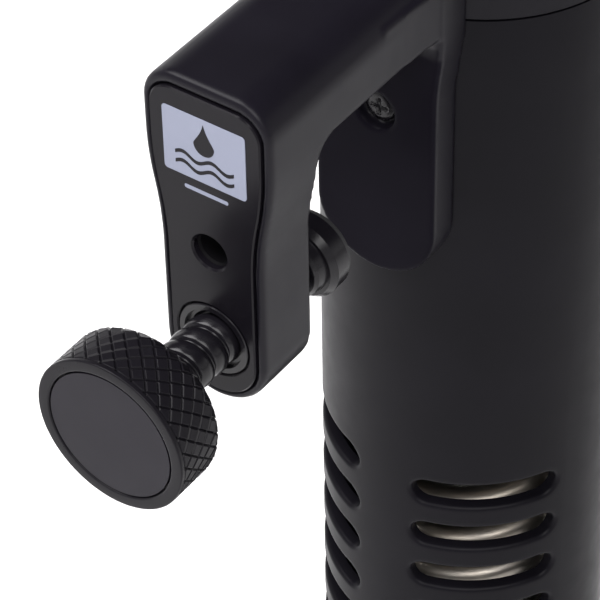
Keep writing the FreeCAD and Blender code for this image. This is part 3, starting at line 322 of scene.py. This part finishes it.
def makeCell(size, rings):
    # one slot in its piece of wall, drawn as rings pulled from the rectangle inwards
    cell = bmesh.new()
    turn = cell.verts.layers.float.new("turn")
    loop = bmesh.ops.create_circle(cell, segments=size["points"], radius=1.0)["verts"]
    for v in loop:
        v[turn] = atan2(v.co.y, v.co.x) / (2 * pi) % 1.0
    edges = cell.edges[:]
    for index, (mix, spread, depth) in enumerate(rings):
        if index:
            made = bmesh.ops.extrude_edge_only(cell, edges=edges)["geom"]
            loop, edges = vertsOf(made), edgesOf(made)
        for v in loop:
            v.co = Vector((*ringPlace(size, v[turn], mix, spread), depth))
    part = bpy.data.meshes.new("cell")
    cell.to_mesh(part)
    cell.free()
    return part


def pullEdges(bm, edges, step, count):
    # extrudes open edges a number of equal steps
    axis = 0 if step[0] else 1
    for _ in range(count):
        made = bmesh.ops.extrude_edge_only(bm, edges=edges)["geom"]
        bmesh.ops.translate(bm, verts=vertsOf(made), vec=step)
        edges = [e for e in edgesOf(made) if abs(e.verts[0].co[axis] - e.verts[1].co[axis]) < 1e-7]


def makeSleeve(size):
    bm = bmesh.new()
    rim, wall, lip, ledge = size["rim"], size["wall"], size["lip"], size["ledge"]
    # (mix, spread, depth): flat wall, rounded rim, lip behind the slot, then the inner wall
    rings = [(0, rim, 0), (0.35, rim, 0), (0.7, rim, 0)]
    rings += [(1, rim * (1 - sin(a)), -rim * (1 - cos(a))) for a in [radians(15 * k) for k in range(7)]]
    rings += [(1, 0, -lip), (1, ledge / 2, -lip - size["ledgeDip"]), (1, ledge, -lip), (1, ledge, -wall)]
    rings += [(0.6, ledge, -wall), (0, ledge, -wall)]
    part = makeCell(size, rings)
    centres = [size["radius"] * radians(turn) for turn in size["turns"]]
    for centre in centres:
        for row in range(size["rows"]):
            before = len(bm.verts)
            bm.from_mesh(part)
            level = size["slotLow"] + size["slotPitch"] * row
            bmesh.ops.translate(bm, verts=bm.verts[before:], vec=(centre, level, 0))
    bpy.data.meshes.remove(part)
    bmesh.ops.remove_doubles(bm, verts=bm.verts, dist=0.02 * mm)
    half, girth, close = size["cellHalf"], 2 * pi * size["radius"], 0.03 * mm

    def near(a, b):
        return abs(a - b) < close

    # plain wall between and around the two columns of slots
    between = (centres[1] - half) - (centres[0] + half)
    around = girth - between - 4 * half
    for x, gap, steps in ((centres[0] + half, between, size["stepsBetween"]),
                          (centres[1] + half, around, size["stepsAround"])):
        pullEdges(bm, openEdges(bm, lambda c: near(c.x, x)), (gap / steps, 0, 0), steps)
    bmesh.ops.remove_doubles(bm, verts=bm.verts, dist=close)
    # plain wall below and above them
    bottom = size["slotLow"] - size["slotPitch"] / 2
    top = size["slotLow"] + size["slotPitch"] * (size["rows"] - 0.5)
    for y, goal, steps in ((bottom, size["low"], size["stepsBelow"]),
                           (top, size["high"], size["stepsAbove"])):
        pullEdges(bm, openEdges(bm, lambda c: near(c.y, y)), (0, (goal - y) / steps, 0), steps)
    # ends of the tube: a small chamfer, then the wall
    for v in bm.verts:
        if v.co.z > -0.1 * mm and (near(v.co.y, size["high"]) or near(v.co.y, size["low"])):
            v.co.z = -size["chamfer"]
    for v in bm.verts:
        angle, r = v.co.x / size["radius"], size["radius"] + v.co.z
        v.co = Vector((sin(angle) * r, -cos(angle) * r, v.co.y))
    bmesh.ops.remove_doubles(bm, verts=bm.verts, dist=close)
    for level in (size["low"], size["high"]):
        bmesh.ops.bridge_loops(bm, edges=openEdges(bm, lambda c: near(c.z, level)))
    return linkPiece(bm, "slotted_sleeve", "sleeve_black", "stick", 40)


sleeve = makeSleeve(sleeveSize)
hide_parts("tube_sleeve")
print("sleeve:", len(sleeve.data.polygons), "faces")


# clamp bracket, one moulding with softened edges and a flared root

bracketSize = {
    "nodes": ("clamp_bracket", "backing_plate"), "cheekRows": 10, "cheekDepth": 2.5 * mm, "flareCurve": 2.2,
    "voxel": 0.42 * mm, "smooth": 7, "flareStart": 50.0 * mm, "flareEnd": 33.0 * mm,
    "beamHalf": 12.9 * mm, "rootHalf": 14.1 * mm, "beamLow": 250.9 * mm, "beamHigh": 262.0 * mm,
}


def makeBracket(size):
    bm = bmesh.new()
    for node in size["nodes"]:
        bm.from_mesh(nodes[node].data)
    bmesh.ops.remove_doubles(bm, verts=bm.verts, dist=1e-6)
    # flared cheeks between the beam and the root
    for side in (-1, 1):
        cheek = bmesh.ops.create_grid(bm, x_segments=size["cheekRows"], y_segments=1, size=0.5)["verts"]
        for v in cheek:
            t = v.co.x + 0.5
            inner = size["beamHalf"] - size["cheekDepth"]
            outer = size["beamHalf"] + (size["rootHalf"] - size["beamHalf"]) * t ** size["flareCurve"]
            v.co = Vector((side * (inner if v.co.y > 0 else outer),
                           -size["flareStart"] + (size["flareStart"] - size["flareEnd"]) * t,
                           size["beamLow"]))
        faces = [f for f in bm.faces if all(v in set(cheek) for v in f.verts)]
        raised = bmesh.ops.extrude_face_region(bm, geom=faces, use_keep_orig=True)["geom"]
        bmesh.ops.translate(bm, verts=vertsOf(raised), vec=(0, 0, size["beamHigh"] - size["beamLow"]))
    bmesh.ops.recalc_face_normals(bm, faces=bm.faces)
    piece = linkPiece(bm, "bracket_moulding", "bracket_black", "stick", 0)
    remesh = piece.modifiers.new("join", "REMESH")
    remesh.mode = "VOXEL"
    remesh.voxel_size = size["voxel"]
    remesh.use_smooth_shade = True
    soften = piece.modifiers.new("soften", "SMOOTH")
    soften.factor, soften.iterations = 0.5, size["smooth"]
    bpy.context.view_layer.update()
    final = bpy.data.meshes.new_from_object(piece.evaluated_get(bpy.context.evaluated_depsgraph_get()))
    piece.modifiers.clear()
    piece.data = final
    final.shade_smooth()
    if not final.materials:
        final.materials.append(finishes["bracket_black"])
    return piece


bracket = makeBracket(bracketSize)
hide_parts(*bracketSize["nodes"])
print("bracket:", len(bracket.data.polygons), "faces")


# knob with a cut diamond pattern

knobSize = {
    "front": 112.35 * mm, "rear": 99.6 * mm, "radius": 15.24 * mm, "height": 211.3 * mm,
    "discRadius": 12.85 * mm, "starts": 30, "rowsAcross": 9, "groove": 0.24 * mm, "depth": 0.3 * mm,
    "cutFront": 111.5 * mm, "cutRear": 99.9 * mm, "bevel": 0.09 * mm, "bevelRise": 0.04 * mm,
    "bandWall": 1.3 * mm, "shoulder": 3.4 * mm, "shoulderDrop": 2.6 * mm, "shoulderCurve": 1.7,
    "bore": 5.25 * mm, "neckRadius": 7.0 * mm, "rearRadius": 12.2 * mm, "fillet": 0.4 * mm,
    "underlap": 0.12 * mm, "discDepth": 1.7 * mm, "pocketRadius": 4.0 * mm, "pocketDepth": 4.2 * mm,
}


def knobRadiusAt(size, y):
    # outside radius along the knob: straight, then a rounded shoulder towards the neck
    back = size["rear"] + size["shoulder"] - y
    if back <= 0:
        return size["radius"]
    t = min(1.0, back / size["shoulder"])
    return size["radius"] - size["shoulderDrop"] * t ** size["shoulderCurve"]


def makeKnob(size):
    girth = 2 * pi * size["radius"]
    step = girth / size["starts"]
    bm = bmesh.new()
    # flat sheet of diamonds: a square grid turned by an eighth and trimmed to the band
    count = size["starts"] + size["rowsAcross"] + 2
    bmesh.ops.create_grid(bm, x_segments=2 * count, y_segments=2 * count, size=count * step / sqrt(2))
    bmesh.ops.rotate(bm, verts=bm.verts, cent=(0, 0, 0), matrix=Matrix.Rotation(radians(45), 3, "Z"))
    length = size["cutFront"] - size["cutRear"]
    for point, normal in (((0, length, 0), (0, 1, 0)), ((0, 0, 0), (0, -1, 0))):
        bmesh.ops.bisect_plane(bm, geom=bm.verts[:] + bm.edges[:] + bm.faces[:], dist=1e-7, plane_co=point,
                               plane_no=normal, clear_outer=True)
    spare = [f for f in bm.faces if not -1e-6 <= f.calc_center_median().x < girth - 1e-6]
    bmesh.ops.delete(bm, geom=spare, context="FACES")
    bmesh.ops.inset_individual(bm, faces=bm.faces[:], thickness=size["groove"], depth=size["depth"],
                               use_even_offset=True)
    tops = [f for f in bm.faces if f.calc_center_median().z > size["depth"] * 0.9]
    bmesh.ops.inset_individual(bm, faces=tops, thickness=size["bevel"], depth=size["bevelRise"],
                               use_even_offset=True)
    for v in bm.verts:
        y = size["cutRear"] + v.co.y
        angle = v.co.x / size["radius"]
        r = knobRadiusAt(size, y) - size["depth"] - size["bevelRise"] + v.co.z
        v.co = Vector((sin(angle) * r, -y, size["height"] + cos(angle) * r))
    bmesh.ops.remove_doubles(bm, verts=bm.verts, dist=0.004 * mm)
    # close the band inwards, under the smooth rims
    for level in (size["cutFront"], size["cutRear"]):
        ends = openEdges(bm, lambda c: abs(c.y + level) < 0.02 * mm)
        for v in vertsOf(bmesh.ops.extrude_edge_only(bm, edges=ends)["geom"]):
            out = Vector((v.co.x, 0, v.co.z - size["height"]))
            v.co -= out.normalized() * size["bandWall"]
    bmesh.ops.bridge_loops(bm, edges=[e for e in bm.edges if e.is_boundary])
    # smooth body: threaded bore and neck, rear face, belt under the diamonds, rim, seat for the disc
    front, rear, big, bore = size["front"], size["rear"], size["radius"], size["bore"]
    neck, neckRadius, fillet = rear + size["shoulder"], size["neckRadius"], size["fillet"]
    under = [(size["cutRear"] + (size["cutFront"] - size["cutRear"]) * k / 12) for k in range(13)]
    rimStart = (-under[-1] - 0.05 * mm, big - 0.06 * mm)
    floorAt, pocketAt = -front + size["discDepth"], -front + size["pocketDepth"]
    profile = [(-neck, bore), (-neck, neckRadius)]
    profile += rounded([(-neck, neckRadius), (-rear, neckRadius), (-rear, size["rearRadius"]),
                        (-under[0], knobRadiusAt(size, under[0]) - size["underlap"])], fillet)[1:]
    profile += [(-y, knobRadiusAt(size, y) - size["depth"] - size["underlap"]) for y in under[1:-1]]
    profile += [(-under[-1], big - 0.5 * mm), rimStart]
    profile += rounded([rimStart, (-front, big), (-front, size["discRadius"]),
                        (floorAt, size["discRadius"])], fillet, 5)[1:]
    profile += [(floorAt, size["pocketRadius"]), (pocketAt, size["pocketRadius"]), (pocketAt, bore)]
    body = bmesh.new()
    latheInto(body, profile, (0, 0, size["height"]), (0, 1, 0), 144)
    bmesh.ops.recalc_face_normals(body, faces=body.faces)
    bmesh.ops.recalc_face_normals(bm, faces=bm.faces)
    part = bpy.data.meshes.new("body")
    body.to_mesh(part)
    body.free()
    bm.from_mesh(part)
    bpy.data.meshes.remove(part)
    return linkPiece(bm, "cut_knob", "knob_black", "knob_screw", 25, recalc=False)


knob = makeKnob(knobSize)
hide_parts("clamp_knob")
print("knob:", len(knob.data.polygons), "faces")


# backing screw, its head pressed lower in the recess

backingSize = {"seat": 31.95 * mm, "headPress": 0.55}


def makeBackingScrew(size):
    bm = bmesh.new()
    bm.from_mesh(nodes["backing_screw"].data)
    bmesh.ops.remove_doubles(bm, verts=bm.verts, dist=1e-6)
    for v in bm.verts:
        if v.co.y < -size["seat"]:
            v.co.y = -size["seat"] + (v.co.y + size["seat"]) * size["headPress"]
    return linkPiece(bm, "recessed_screw", "screw_black", "stick", 30)


backingScrew = makeBackingScrew(backingSize)
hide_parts("backing_screw")
print("backing screw ready")


# clamp screw with wide rounded crests

screwSize = {
    "radius": 5.2 * mm, "groove": 0.95 * mm, "grooveWidth": 0.78 * mm, "bulge": 0.25 * mm,
    "pitch": 4.0 * mm, "height": 211.3 * mm, "start": 62.0 * mm, "end": 107.9 * mm, "steps": 64,
    "journal": 2.4 * mm, "headRadius": 3.4 * mm, "headStart": 54.9 * mm, "headEnd": 56.5 * mm,
    "runOut": 0.5 * mm, "runOutDrop": 0.7 * mm, "headChamfer": 0.3 * mm,
}


def makeScrew(size):
    bm = bmesh.new()
    pitch, half, groove, bulge = size["pitch"], size["grooveWidth"] / 2, size["groove"], size["bulge"]
    # one crest from the middle of a groove to the middle of the next
    across = [(0, groove), (half * 0.5, groove * 0.92), (half, bulge * 1.7), (half * 1.6, bulge)]
    across += [(half * 1.6 + (pitch - half * 3.2) * k / 8, bulge * (2 * k / 8 - 1) ** 2) for k in range(1, 8)]
    across += [(pitch - a, deep) for a, deep in reversed(across[:4])]
    turns = int((size["end"] - size["start"]) / pitch) + 3
    first = -(size["end"] + 1.5 * pitch)
    line = [bm.verts.new((0, first + a, size["height"] + size["radius"] - deep)) for a, deep in across]
    edges = [bm.edges.new(pair) for pair in zip(line, line[1:])]
    bmesh.ops.spin(bm, geom=line + edges, cent=(0, 0, size["height"]), axis=(0, 1, 0), angle=2 * pi * turns,
                   dvec=(0, pitch / size["steps"], 0), steps=size["steps"] * turns, use_duplicate=False)
    bmesh.ops.remove_doubles(bm, verts=bm.verts, dist=0.004 * mm)
    for level, side in ((size["start"], 1), (size["end"], -1)):
        bmesh.ops.bisect_plane(bm, geom=bm.verts[:] + bm.edges[:] + bm.faces[:], dist=1e-7,
                               plane_co=(0, -level, 0), plane_no=(0, side, 0), clear_outer=True)
    # journal and retaining head at the pad's end, flat face in the knob
    edges = openEdges(bm, lambda c: abs(c.y + size["start"]) < 1e-6)
    knobEnd = openEdges(bm, lambda c: abs(c.y + size["end"]) < 1e-6)
    runOut, chamfer = size["start"] - size["runOut"], size["headChamfer"]
    for y, r in ((runOut, size["radius"] - size["runOutDrop"]), (runOut, size["journal"]),
                 (size["headEnd"], size["journal"]), (size["headEnd"], size["headRadius"]),
                 (size["headStart"] + chamfer, size["headRadius"]),
                 (size["headStart"], size["headRadius"] - chamfer)):
        made = bmesh.ops.extrude_edge_only(bm, edges=edges)["geom"]
        edges = edgesOf(made)
        for v in vertsOf(made):
            out = Vector((v.co.x, 0, v.co.z - size["height"])).normalized() * r
            v.co = Vector((out.x, -y, size["height"] + out.z))
    bmesh.ops.contextual_create(bm, geom=edges)
    bmesh.ops.contextual_create(bm, geom=knobEnd)
    return linkPiece(bm, "crested_screw", "screw_black", "knob_screw", 32)


screw = makeScrew(screwSize)
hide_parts("clamp_screw")
print("screw:", len(screw.data.polygons), "faces")


# plain motif on the badge: a drop above two waves, and a short bar below the badge

motifSize = {
    "face": 83.5 * mm, "height": 252.6 * mm, "dropRadius": 2.1 * mm, "dropTip": 2.1, "dropUp": 1.3 * mm,
    "waveWidth": 12.0 * mm, "waveTall": 0.6 * mm, "wavePen": 0.75 * mm, "waves": (-2.2 * mm, -4.2 * mm),
    "proud": 0.04 * mm, "barWidth": 9.0 * mm, "barTall": 0.8 * mm, "barDrop": 8.9 * mm,
}


def raiseFlat(bm, verts, proud):
    # gives a flat outline a little thickness towards -y
    faces = [f for f in bm.faces if all(v in verts for v in f.verts)]
    made = bmesh.ops.extrude_face_region(bm, geom=faces, use_keep_orig=True)["geom"]
    bmesh.ops.translate(bm, verts=vertsOf(made), vec=(0, -proud, 0))


def makeMotif(size):
    bm = bmesh.new()
    drop = bmesh.ops.create_circle(bm, cap_ends=True, segments=48, radius=size["dropRadius"])["verts"]
    for v in drop:
        lift = max(0.0, v.co.y / size["dropRadius"])
        v.co.x *= 1 - 0.92 * lift ** 1.6
        v.co.y *= 1 + (size["dropTip"] - 1) * lift ** 1.4
        v.co = Vector((v.co.x, -size["face"], size["height"] + size["dropUp"] + v.co.y))
    raiseFlat(bm, set(drop), size["proud"])
    for level in size["waves"]:
        wave = bmesh.ops.create_grid(bm, x_segments=48, y_segments=1, size=0.5)["verts"]
        for v in wave:
            bend = sin(v.co.x * 4 * pi) * size["waveTall"]
            v.co = Vector((v.co.x * size["waveWidth"], -size["face"],
                           size["height"] + level + bend + v.co.y * size["wavePen"]))
        raiseFlat(bm, set(wave), size["proud"])
    return linkPiece(bm, "badge_motif", "label_dark", "stick", 30)


def makeBar(size):
    bm = bmesh.new()
    bar = bmesh.ops.create_circle(bm, cap_ends=True, segments=32, radius=size["barTall"] / 2)["verts"]
    for v in bar:
        v.co.x += (size["barWidth"] - size["barTall"]) / 2 * (1 if v.co.x > 1e-9 else -1)
        v.co = Vector((v.co.x, -size["face"] + 0.15 * mm, size["height"] - size["barDrop"] + v.co.y))
    raiseFlat(bm, set(bar), size["proud"])
    return linkPiece(bm, "badge_bar", "badge_pale", "stick", 30)


makeMotif(motifSize)
makeBar(motifSize)
print("badge motif and bar ready")


# camera, floor and lights

cameraSize = {
    "place": (0.24073, -0.38569, 0.56501), "ahead": (-0.44135, 0.60099, -0.66635),
    "up": (-0.37785, 0.54907, 0.74548), "lens": 182.55,
}


def makeCamera(size):
    camera = bpy.data.cameras.new("camera")
    holder = bpy.data.objects.new("camera", camera)
    scene.collection.objects.link(holder)
    ahead, up = Vector(size["ahead"]).normalized(), Vector(size["up"]).normalized()
    right = ahead.cross(up)
    turn = Matrix((right, up, -ahead)).transposed().to_4x4()
    holder.matrix_world = Matrix.Translation(Vector(size["place"])) @ turn
    camera.lens, camera.sensor_width = size["lens"], 36
    camera.clip_start, camera.clip_end = 0.01, 20
    scene.camera = holder


makeCamera(cameraSize)

studio = {
    "floorHalf": 6.0, "worldFade": (0.12, 0.5, 1.05, 0.03),
    "lights": {
        # name: (place, aim, width, height, watts, colour)
        "overhead": ((-0.85, -0.7, 2.0), (0.0, 0.1, 0.0), 1.5, 1.5, 82, (1.0, 0.985, 1.0)),
        "frontFill": ((0.75, -0.9, 1.6), (-0.05, 0.0, 0.0), 1.3, 1.3, 42, (1.0, 0.985, 0.99)),
        "leftPanel": ((-1.6, 0.3, 0.5), (0, 0, 0.15), 0.7, 0.7, 2.0, (1.0, 0.98, 0.985)),
    },
}


def makeStudio(size):
    bm = bmesh.new()
    bmesh.ops.create_grid(bm, x_segments=2, y_segments=2, size=size["floorHalf"])
    mesh = bpy.data.meshes.new("studio_floor")
    bm.to_mesh(mesh)
    bm.free()
    floor = bpy.data.objects.new("studio_floor", mesh)
    scene.collection.objects.link(floor)
    material, tree, shader = newMaterial("paleFloor")
    cloud = noise(tree, objectCoords(tree), 3.0, 4)
    tree.links.new(ramp(tree, cloud, 0.86, 0.9), shader.inputs["Base Color"])
    shader.inputs["Roughness"].default_value = 0.8
    shader.inputs["Specular IOR Level"].default_value = 0.2
    mesh.materials.append(material)
    for name, (place, aim, width, height, watts, colour) in size["lights"].items():
        light = bpy.data.lights.new(name, "AREA")
        light.shape, light.size, light.size_y = "RECTANGLE", width, height
        light.energy, light.color = watts, colour
        holder = bpy.data.objects.new(name, light)
        holder.location = place
        holder.rotation_euler = (Vector(aim) - Vector(place)).to_track_quat("-Z", "Y").to_euler()
        scene.collection.objects.link(holder)
    world = bpy.data.worlds.new("studio")
    world.use_nodes = True
    tree = world.node_tree
    back = tree.nodes["Background"]
    back.inputs["Color"].default_value = (1, 0.99, 1, 1)
    # pale horizon, dark overhead
    direction = tree.nodes.new("ShaderNodeTexCoord")
    split = tree.nodes.new("ShaderNodeSeparateXYZ")
    fade = tree.nodes.new("ShaderNodeMapRange")
    fade.interpolation_type = "SMOOTHSTEP"
    for socket, value in zip(("From Min", "From Max", "To Min", "To Max"), size["worldFade"]):
        fade.inputs[socket].default_value = value
    tree.links.new(direction.outputs["Generated"], split.inputs["Vector"])
    tree.links.new(split.outputs["Z"], fade.inputs["Value"])
    tree.links.new(fade.outputs["Result"], back.inputs["Strength"])
    scene.world = world
    scene.view_settings.view_transform = "Standard"
    scene.view_settings.look = "None"
    scene.view_settings.exposure = 0.0


makeStudio(studio)
print("studio ready")
